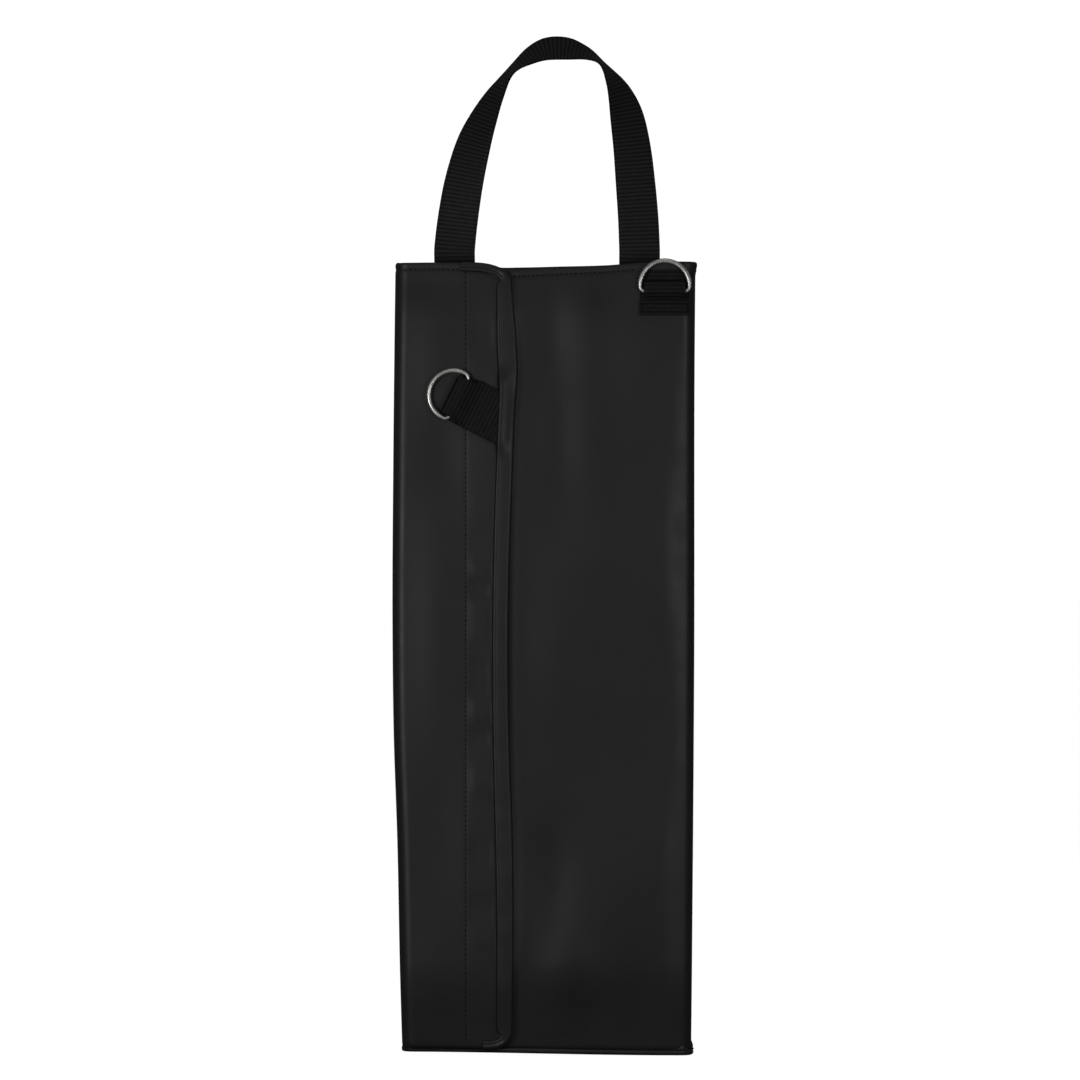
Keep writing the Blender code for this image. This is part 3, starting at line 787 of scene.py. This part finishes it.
def build_flap_strip():
    """The flap's turned edge. Returns the line of its stitches."""
    spots, ways = resample(flap_free_outline(), 2.4)
    inward = np.stack([ways[:, 1], -ways[:, 0]], axis=1)
    rows, line = [], []
    for at, way in zip(spots, inward):
        w = float(edge_strip_width(at[1]))
        lift = 2.35 * float(tab_bulge(at[1]))
        flat = STRIP_FRONT + 0.07 * math.sin(at[1] / 5.1) + 0.05 * math.sin(at[1] / 2.7 + 1.0)
        raised = flat + lift
        sewn = w - STRIP_SEWN
        section = [(w - 1.6, -2.35), (w * 0.5, -2.45), (1.3, -2.4), (0.45, -2.1), (0.1, -1.4), (0.0, -0.6),
                   (0.12, 0.1), (0.5, 0.5), (1.3, flat - 0.03), (w * 0.35, flat + lift * 0.3),
                   (w * 0.6, flat + lift * 0.8), (w - 1.9, raised - 0.04), (w - 1.5, raised - 0.08),
                   (sewn, raised - 0.30), (w - 0.9, raised - 0.10), (w - 0.4, raised - 0.12),
                   (w - 0.1, raised - 0.14), (w, raised - 0.22), (w + 0.05, -0.3 + lift)]
        rows.append([strip_point(at, way, q, off) for q, off in section])
        line.append(strip_point(at, way, sewn, raised - 0.22))
    strip = grid("flap_turned_edge", rows, MATS["leather"], 0.75, edge=0.15)
    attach(strip, "flap")
    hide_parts("flap_edge_binding")
    return line


# ---- bottom ----
def rounded_box(xl, xr, yf, yb, r):
    """Points round a box with rounded corners, seen from above, from its front left."""
    def corner(cx, cy, start):
        return arc(cx, cy, r, r, start, start + 90, 8)

    side = [(xr - xl - 2 * r) * k / 60 for k in range(1, 60)]
    middle = (yf + yb) / 2
    return (
        [(xl + r + t, yf) for t in side] + corner(xr - r, yf + r, -90) + [(xr, middle)]
        + corner(xr - r, yb - r, 0) + [(xr - r - t, yb) for t in side] + corner(xl + r, yb - r, 90)
        + [(xl, middle)] + corner(xl + r, yf + r, 180)
    )


def build_bottom():
    """The bottom panel, with its seam as a ridge all round that is fuller at the right."""
    xl, xr = float(left_edge(SEAM_Z)), float(right_edge(SEAM_Z))
    yf, yb = float(front_y(0.0, SEAM_Z)), float(back_y(0.0, SEAM_Z))
    loop = np.array(rounded_box(xl, xr, yf, yb, 7.0))
    way = np.roll(loop, -1, axis=0) - np.roll(loop, 1, axis=0)
    way /= np.linalg.norm(way, axis=1, keepdims=True)
    out = np.stack([way[:, 1], -way[:, 0]], axis=1)
    middle = np.stack([np.clip(loop[:, 0], xl + 9, xr - 9), np.full(len(loop), (yf + yb) / 2)], axis=1)
    ridge = 0.35 + ramp(-80.0, 88.0, loop[:, :1])
    base = bottom_z(loop[:, 0])
    rows = []
    for d, z in ((-1.9, 9.0), (-1.9, 4.0), (-1.7, 1.2), (-0.9, 0.5), (0.3, 0.3), (0.8, -0.1), (1.0, -0.9),
                 (0.9, -1.8), (0.5, -2.4), (-0.3, -2.8), (-1.3, -2.75), (-2.6, -2.5)):
        spots = loop + out * (d if d < 0 else d * ridge)
        rows.append(np.stack([spots[:, 0], spots[:, 1], base + z], axis=1))
    inner = loop - out * 2.6
    for f in (0.25, 0.5, 0.75, 0.94):
        spots = inner + (middle - inner) * f
        rows.append(np.stack([spots[:, 0], spots[:, 1], bottom_z(spots[:, 0]) - 2.5 + 0.5 * f], axis=1))
    bottom = grid("bottom_skin", rows, MATS["leather"], 1.0, wrap=True, edge=0.15)
    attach(bottom, "pouch")
    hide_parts("bottom_panel", "bottom_lining")


# ---- webbing ----
def woven(gap, thickness, rounding, swell, plain):
    """Half the thickness of webbing at gap from its edge: a rounded edge, a plain border, then ribs."""
    body = thickness / 2 * math.sqrt(max(0.0, 1 - max(0.0, 1 - gap / rounding) ** 2))
    return body + swell * min(1.0, max(0.0, (gap - plain) / 0.6))


def round_band(count):
    """(side, u) round a band: across one side with u from one edge to the other, and back on the other."""
    us = [-1 + 2 * k / (count - 1) for k in range(count)]
    return [(-1, u) for u in us] + [(1, u) for u in us[::-1]]


def rib_swell(at, height):
    """Height of the ribs at a length along the webbing."""
    return height * math.cos(math.pi * at / RIB_PITCH) ** 2


def ribbon(name, mat, frames, width, thickness, count):
    """A woven band through frames, which are (middle, across, normal, length so far)."""
    half = width / 2
    rows = []
    for middle, across, normal, at in frames:
        swell = rib_swell(at, 0.15)
        ring = []
        for side, u in round_band(count):
            gap = (1 - abs(u)) * half
            border = 0.06 if gap < 2.3 else 0.0
            off = woven(gap, thickness, 0.55, swell, 2.0) - 0.2 + border
            ring.append(tuple(middle + across * (u * half) + normal * (side * off)))
        rows.append(ring)
    return grid(name, rows, mat, wrap=True, caps=True, lengths=[at for _, _, _, at in frames])


def spline(values, steps):
    """Points of a Catmull-Rom curve through the rows of values."""
    v = np.array(values, float)
    ends = np.vstack([2 * v[0] - v[1], v, 2 * v[-1] - v[-2]])
    out = []
    for a, b, c, d in zip(ends, ends[1:], ends[2:], ends[3:]):
        for i in range(steps):
            t = i / steps
            out.append(0.5 * (2 * b + (c - a) * t + (2 * a - 5 * b + 4 * c - d) * t * t
                              + (3 * b - a - 3 * c + d) * t ** 3))
    out.append(v[-1])
    return np.array(out)


def handle_middle_y(z):
    """Y of the strap's middle: between the back panel and its lining, then leaning back with height."""
    inside = 11.3
    lean = 12.3 + 1.5 * (max(z, 0.0) / 130.0) ** 2
    return inside + (lean - inside) * float(ramp(-1.5, 4.5, z))


def build_handle():
    """The webbing handle, with both ends down between the back panel and its lining."""
    stations = [tuple(s) for s in spline(HANDLE_STATIONS, 12)]
    legs = [-40.0, -30.0, -20.0, -12.0, -7.0, -4.0, -2.0, 0.0, 2.0]
    path = [(HANDLE_STATIONS[0][0], z, WEBBING) for z in legs] + stations
    path += [(HANDLE_STATIONS[-1][0], z, WEBBING) for z in reversed(legs)]
    points = [(x, handle_middle_y(z), z, min(s, WEBBING)) for x, z, s in path]
    p = np.array(points)
    at = np.concatenate([[0.0], np.cumsum(np.linalg.norm(np.diff(p[:, :3], axis=0), axis=1))])
    where = np.arange(0.0, at[-1], RIB_PITCH / 4)
    p = np.stack([np.interp(where, at, p[:, k]) for k in range(4)], axis=1)
    reach = 4
    soft = np.ones(2 * reach + 1) / (2 * reach + 1)
    for k in range(4):
        p[:, k] = np.convolve(np.pad(p[:, k], reach, mode="edge"), soft, mode="valid")
    ways = np.gradient(p[:, :3], axis=0)
    frames = []
    for (x, y, z, shown), way, s in zip(p, ways, where):
        way = Vector((way[0], 0.0, way[2])).normalized()
        inward = Vector((way.z, 0.0, -way.x))
        # what isn't shown from the front is turned away
        depth = math.sqrt(max(WEBBING ** 2 - shown ** 2, 0.0))
        across = (inward * shown + Vector((0.0, -depth, 0.0))) / WEBBING
        normal = way.cross(across).normalized()
        frames.append((Vector((x, y, z)), across, normal, s))
    strap = ribbon("handle_strap", MATS["webbing"], frames, WEBBING, WEBBING_THICKNESS, 17)
    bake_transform(strap)
    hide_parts("handle_webbing", "handle_anchor_left", "handle_anchor_right")


def tab_path(tail, bar_out, sewn):
    """Side view (along, out) of a folded webbing tab, from the tail's under layer to its top layer.

    sewn is how far below the bar the two layers come together.
    """
    loop_at, reach = 3.5, 2.3
    under, over = 0.6, 1.82
    low, high = bar_out - reach, bar_out + reach
    path = [(-tail, under), (-tail * 0.5, under), (-4.0, under), (-1.5, under + 0.02), (0.5, low),
            (loop_at - 0.5, low)]
    crest = 0.2
    path += arc(loop_at, bar_out, reach, reach, -90, 90, 8) + [(1.6, high + 0.02), (crest, high)]
    for share in np.linspace(0.0, 1.0, 9)[1:]:
        path.append((crest - (sewn + crest) * share, high + (over - high) * ramp(0.0, 1.0, share)))
    return path + [(-sewn - 1.5, over), (-tail, over)]


def leaning(lean):
    """Directions across and along a tab or ring that leans by so many degrees to the left."""
    turn = math.radians(lean)
    across = Vector((math.cos(turn), 0.0, math.sin(turn)))
    along = Vector((-math.sin(turn), 0.0, math.cos(turn)))
    return across, along


def build_tab(name, bar, face_y, lean, tail, sewn, root_x=None):
    """A webbing tab folded through a D-ring. With root_x its tail ends on that vertical line."""
    across, along = leaning(lean)
    base = face_y - TAB_LAY
    fine = 0.45
    longest = tail if root_x is None else tail + 8.0
    spots, ways = resample(tab_path(longest, base - bar[1], sewn), fine)
    rows = []
    turn_row = int(np.argmax(spots[:, 0]))
    for i, ((reach, out), (da, do)) in enumerate(zip(spots, ways)):
        # the top layer stays gathered for longer, so the folded ring clears it
        share = float(ramp(1.5, -0.3, reach) if i < turn_row else ramp(-5.2, -6.5, reach))
        half = (TAB_NECK + (TAB_WIDTH - TAB_NECK) * share) / 2
        swell = rib_swell(i * fine, 0.22)
        ring = []
        for side, u in round_band(23):
            at = -u * half
            off = side * (woven(half - abs(at), 1.2, 0.5, swell, 1.8) - 0.15)
            a, o = reach - do * off, out + da * off
            if root_x is not None:
                limit = (root_x - bar[0] - across.x * at) / along.x
                a = limit if reach < limit else a
            ring.append(tuple(Vector((bar[0], base - o, bar[2])) + across * at + along * a))
        rows.append(ring)
    return grid(name, rows, MATS["tab"], wrap=True, caps=True, lengths=fine * np.arange(len(rows)))


def ring_centreline():
    """Points (across, along) round a D-ring: the bar, then the two corners and the arc."""
    foot, r = RING_ARC - RING_CORNER, RING_CORNER
    return ([(-foot + 2 * foot * i / 12, 0.0) for i in range(13)] + arc(foot, r, r, r, -90, 0, 8)[1:]
            + arc(0.0, RING_RISE, RING_ARC, RING_ARC, 0, 180, 64)[1:-1]
            + arc(-foot, r, r, r, 180, 270, 8)[:-1])


def build_ring(name, bar, lean, body, node):
    """A D-ring of wire; its arc is a little thicker than its bar."""
    across, along = leaning(lean)
    shape = ring_centreline()
    path = [Vector(bar) + across * a + along * b for a, b in shape]
    front = Vector((0.0, -1.0, 0.0))
    rows = []
    for i in range(len(path) + 1):
        k = i % len(path)
        way = (path[(k + 1) % len(path)] - path[k - 1]).normalized()
        flat = way.cross(front)
        radius = WIRE_RADIUS + 0.25 * float(ramp(3.0, 7.0, shape[k][1]))
        rows.append([tuple(path[k] + (flat * math.cos(t) + front * math.sin(t)) * radius)
                     for t in (2 * math.pi * m / 20 for m in range(20))])
    ring = grid(name, rows, MATS["nickel"], wrap=True)
    weld = ring.modifiers.new("join", "WELD")
    weld.merge_threshold = 1e-6
    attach(ring, body)
    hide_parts(node)


def tab_row(start, end):
    """A row of stitches on the top tab, between two (across, along) points."""
    y = FRONT_FACE - TAB_LAY - 2.5
    return [(TOP_BAR[0] + across, y, TOP_BAR[2] + along) for across, along in (start, end)], TOWARD


def build_hardware():
    """The two tabs, their rings, and the top tab's stitches and sewn-down root."""
    top_tab = build_tab("top_webbing_tab", TOP_BAR, FRONT_FACE, 0.0, 14.6, 7.0)
    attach(top_tab, "pouch")
    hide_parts("top_ring_tab")
    flap_tab = build_tab("flap_webbing_tab", FLAP_BAR, FLAP_FACE, TAB_LEAN, 30.0, 12.0, -24.4)
    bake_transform(flap_tab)
    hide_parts("flap_ring_tab")
    build_ring("top_ring_wire", TOP_BAR, 0.0, "top_ring", "top_d_ring")
    build_ring("flap_ring_wire", FLAP_BAR, TAB_LEAN, "flap_ring", "flap_d_ring")
    lines = [tab_row((-13.2, -7.4), (13.2, -7.4)), tab_row((-13.2, -12.6), (13.2, -12.6)),
             tab_row((-13.6, -8.6), (-13.6, -11.6)), tab_row((13.6, -8.6), (13.6, -11.6))]
    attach(stitches("top_tab_stitches", lines, 2.6, 1.9), "pouch")
    right, front = Vector((1.0, 0.0, 0.0)), Vector(TOWARD)
    frames = [(Vector((TOP_BAR[0], FRONT_FACE - 0.45, z)), right, front, -z)
              for z in np.arange(-10.9, -4.6, 0.6)]
    base = ribbon("top_tab_root", MATS["tab"], frames, 27.0, 0.8, 19)
    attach(base, "pouch")


# ---- rows of stitches ----
def row_down(x, start, end, y_of, outward):
    """A row of stitches down the bag at x, from start to end, where y_of gives its depth."""
    return [(x, float(y_of(z)), z) for z in np.arange(start, end, -ROW_STEP)], outward


def crossed_box(middle):
    """The stitches that hold one end of the handle: a box with both diagonals, on the back panel."""
    half, low, high = 9.5, -34.0, -9.0
    box = [(middle - half, high), (middle + half, high), (middle + half, low), (middle - half, low)]
    rows = []
    for (xa, za), (xb, zb) in list(zip(box, box[1:] + box[:1])) + [(box[0], box[2]), (box[1], box[3])]:
        line = [(xa + (xb - xa) * s, za + (zb - za) * s) for s in np.linspace(0.06, 0.94, 8)]
        rows.append(([(x, float(back_y(x, z)) + SUNK, z) for x, z in line], AWAY))
    return rows


def build_stitches(strip_line):
    """All rows but the tab's; strip_line runs along the flap's turned edge."""
    inner = row_down(HOOK_LEFT, -6.5, -474.5, lambda z: flap_y(HOOK_LEFT, z), TOWARD)
    top = [(x, float(flap_y(x, -5.0)) + 0.3, float(flap_top(x, 0.0)) - HEM_ROW)
           for x in np.arange(-84.0, -43.0, ROW_STEP)]
    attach(stitches("flap_stitches", [inner, (top, TOWARD), (strip_line, TOWARD)]), "flap")

    front = [(x, float(front_y(x, top_z(x, 0.0) - HEM_ROW)) + 0.3, float(top_z(x, 0.0)) - HEM_ROW)
             for x in np.arange(-18.0, 56.0, ROW_STEP)]
    back = [(x, float(back_y(x, -4.0)) - 0.3, float(top_z(x, 1.0)) - HEM_ROW)
            for x in np.arange(-76.0, 82.0, ROW_STEP)]
    lines = [(front, TOWARD), (back, AWAY),
             row_down(LAP_X - 3.0, -7.0, -472.0, lambda z: back_y(LAP_X, z) + SUNK, AWAY),
             row_down(-55.6, -5.0, -472.0, lambda z: layer_y(BINDING_FACE, z), TOWARD)]
    for x in (HOOK_LEFT + 1.4, HOOK_RIGHT - 1.4):
        lines.append(row_down(x, -10.0, -466.0, lambda z: layer_y(LOOP_FACE, z), TOWARD))
    for middle in HANDLE_ENDS:
        lines += crossed_box(middle)
    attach(stitches("pouch_stitches", lines), "pouch")

    lines = [row_down(x, -10.0, -466.0, lambda z: layer_y(HOOK_FACE + TAPE, z) + SUNK, AWAY)
             for x in (HOOK_LEFT + 1.4, HOOK_RIGHT - 2.4)]
    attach(stitches("hook_strip_stitches", lines), "flap")


# ---- floor, light and camera ----
def seen_level(tree, seen, unseen):
    """A strength that is one value for what the camera sees and another for the light it gives."""
    path = tree.nodes.new("ShaderNodeLightPath")
    level = tree.nodes.new("ShaderNodeMapRange")
    level.inputs["To Min"].default_value = unseen
    level.inputs["To Max"].default_value = seen
    tree.links.new(path.outputs["Is Camera Ray"], level.inputs["Value"])
    return level.outputs["Result"]


def build_stage():
    """A pale floor and a white surround that light the bag less than they show."""
    n = Nodes("pale_floor", grey(0.25), 0.9, specular=0.1)
    n.shader.inputs["Emission Color"].default_value = (1.0, 1.0, 1.0, 1.0)
    n.link(seen_level(n.tree, 0.97, 0.0), n.shader.inputs["Emission Strength"])
    size, level = 30.0, -0.4835
    mesh = bpy.data.meshes.new("floor")
    corners = [(-size, -size, level), (size, -size, level), (size, size, level), (-size, size, level)]
    mesh.from_pydata(corners, [], [(0, 1, 2, 3)])
    mesh.materials.append(n.mat)
    floor = bpy.data.objects.new("floor", mesh)
    bpy.context.scene.collection.objects.link(floor)

    world = bpy.data.worlds.new("studio")
    world.use_nodes = True
    sky = world.node_tree.nodes["Background"]
    sky.inputs["Color"].default_value = (1.0, 1.0, 1.0, 1.0)
    world.node_tree.links.new(seen_level(world.node_tree, 1.05, 0.10), sky.inputs["Strength"])
    bpy.context.scene.world = world
    bpy.context.scene.view_settings.view_transform = "Standard"


def area_light(name, spot, target, size, power):
    data = bpy.data.lights.new(name, "AREA")
    data.shape = "RECTANGLE"
    data.size, data.size_y = size
    data.energy = power
    light = bpy.data.objects.new(name, data)
    light.location = spot
    aim = Vector(target) - Vector(spot)
    light.rotation_mode = "QUATERNION"
    light.rotation_quaternion = aim.to_track_quat("-Z", "Y")
    bpy.context.scene.collection.objects.link(light)


def build_lights():
    """Two softboxes in front, one above and one behind: place, size and power of each."""
    middle = (0.0, 0.0, -0.22)
    area_light("left_softbox", (-0.594, -1.045, -0.15), middle, (0.275, 0.275), 2.85)
    area_light("right_softbox", (0.578, -1.045, -0.15), middle, (0.22, 0.275), 1.42)
    area_light("top_softbox", (0.1, -1.0, 1.8), middle, (1.2, 0.9), 2.2)
    area_light("back_softbox", (0.0, 2.2, -0.2), middle, (1.6, 1.2), 2.5)


def build_camera():
    """A long lens straight in front; view_width is what the picture spans at the flap's face."""
    data = bpy.data.cameras.new("camera")
    data.lens = 200.0
    data.sensor_width = 36.0
    data.clip_end = 100.0
    camera = bpy.data.objects.new("camera", data)
    view_width, aim = 0.6562, (-0.00243, -0.0164, -0.1689)
    camera.location = (aim[0], aim[1] - view_width * data.lens / data.sensor_width, aim[2])
    camera.rotation_euler = (math.radians(90), 0.0, 0.0)
    bpy.context.scene.collection.objects.link(camera)
    bpy.context.scene.camera = camera


build_skins()
build_linings()
build_fasteners()
build_slit_binding()
strip_line = build_flap_strip()
build_bottom()
build_handle()
build_hardware()
build_stitches(strip_line)
build_stage()
build_lights()
build_camera()
